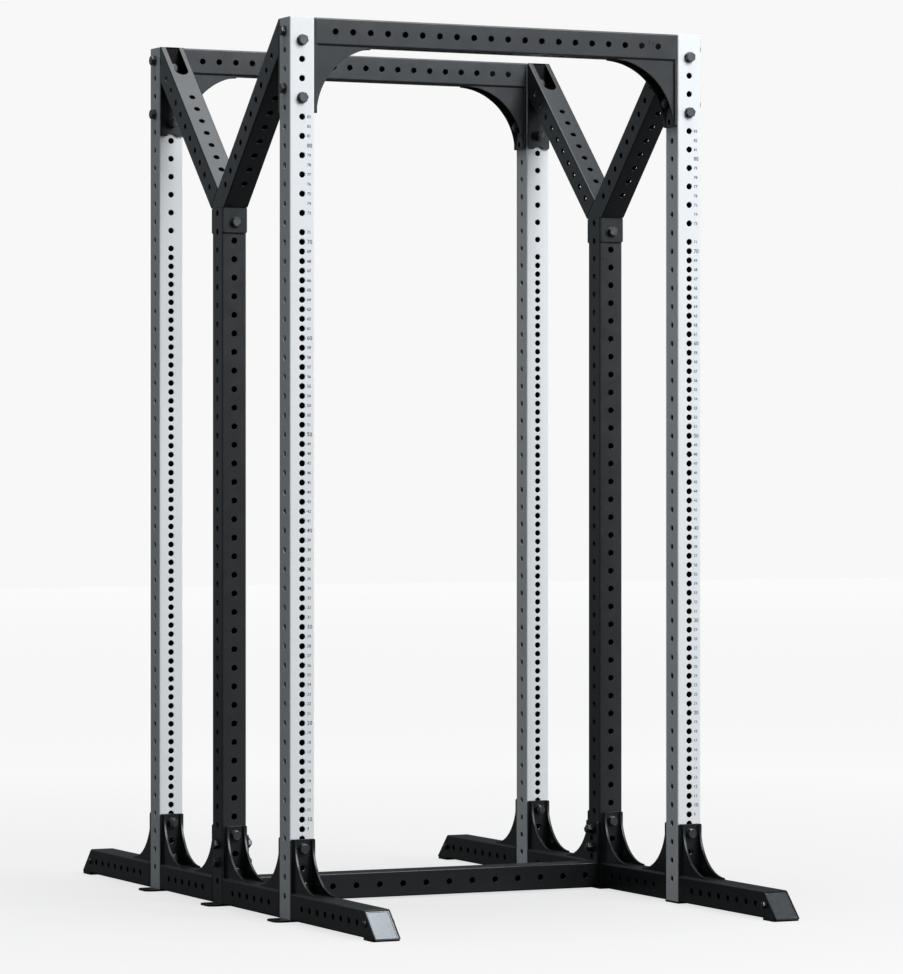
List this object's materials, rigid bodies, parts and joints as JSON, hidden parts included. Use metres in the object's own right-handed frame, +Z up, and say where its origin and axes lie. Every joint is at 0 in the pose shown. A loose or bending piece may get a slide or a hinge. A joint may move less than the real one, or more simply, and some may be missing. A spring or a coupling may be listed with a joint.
{
  "type": "power cage",
  "caption": "Free-standing power cage of bolted square tubes: perforated uprights, Y-shaped side braces, gusseted crossmembers and long feet",
  "frame": {"origin": "on the floor, under the middle of the frame's footprint", "axes": "+Z up, -Y the front (the side with the numbered uprights), +X to the right as seen from the front"},
  "size_m": [1.29, 2.076, 2.35],
  "materials": {
    "silver_paint": "light silver-grey powder coat, satin",
    "black_paint": "black powder coat, satin",
    "dark_zinc": "dark zinc-plated steel",
    "cap_steel": "plain pressed metal cap",
    "rubber": "matt black",
    "plug_plastic": "matt black"
  },
  "bodies": {
    "root": {"upright_front_left": "silver_paint", "upright_front_right": "silver_paint", "upright_rear_left": "silver_paint", "upright_rear_right": "silver_paint", "upright_middle_left": "black_paint", "upright_middle_right": "black_paint", "top_crossmember_front": "black_paint", "top_crossmember_rear": "black_paint", "bottom_crossmember": "black_paint", "y_brace_left": "black_paint", "y_brace_right": "black_paint", "foot_front_left": "black_paint", "foot_front_right": "black_paint", "foot_rear_left": "black_paint", "foot_rear_right": "black_paint", "side_rail_front_left": "black_paint", "side_rail_front_right": "black_paint", "side_rail_rear_left": "black_paint", "side_rail_rear_right": "black_paint", "end_cap_front_left": "cap_steel", "end_cap_front_right": "cap_steel", "end_cap_rear_left": "cap_steel", "end_cap_rear_right": "cap_steel", "rubber_shoe_front_left": "rubber", "rubber_shoe_front_right": "rubber", "rubber_shoe_rear_left": "rubber", "rubber_shoe_rear_right": "rubber", "floor_plate_front_left": "black_paint", "floor_plate_front_right": "black_paint", "floor_plate_middle_left": "black_paint", "floor_plate_middle_right": "black_paint", "floor_plate_rear_left": "black_paint", "floor_plate_rear_right": "black_paint", "top_plug_front_left": "plug_plastic", "top_plug_front_right": "plug_plastic", "top_plug_rear_left": "plug_plastic", "top_plug_rear_right": "plug_plastic", "crossmember_bolts": "dark_zinc", "crossmember_washers": "dark_zinc", "crossmember_nuts": "dark_zinc", "brace_upper_bolts": "dark_zinc", "brace_upper_washers": "dark_zinc", "brace_upper_nuts": "dark_zinc", "brace_saddle_bolts": "dark_zinc", "brace_saddle_washers": "dark_zinc", "brace_saddle_nuts": "dark_zinc", "base_bolts": "dark_zinc", "base_washers": "dark_zinc", "base_nuts": "dark_zinc", "bottom_crossmember_bolts": "dark_zinc", "bottom_crossmember_washers": "dark_zinc", "bottom_crossmember_nuts": "dark_zinc", "foot_tip_screws": "dark_zinc", "foot_tip_nuts": "dark_zinc"}
  },
  "joints": []
}
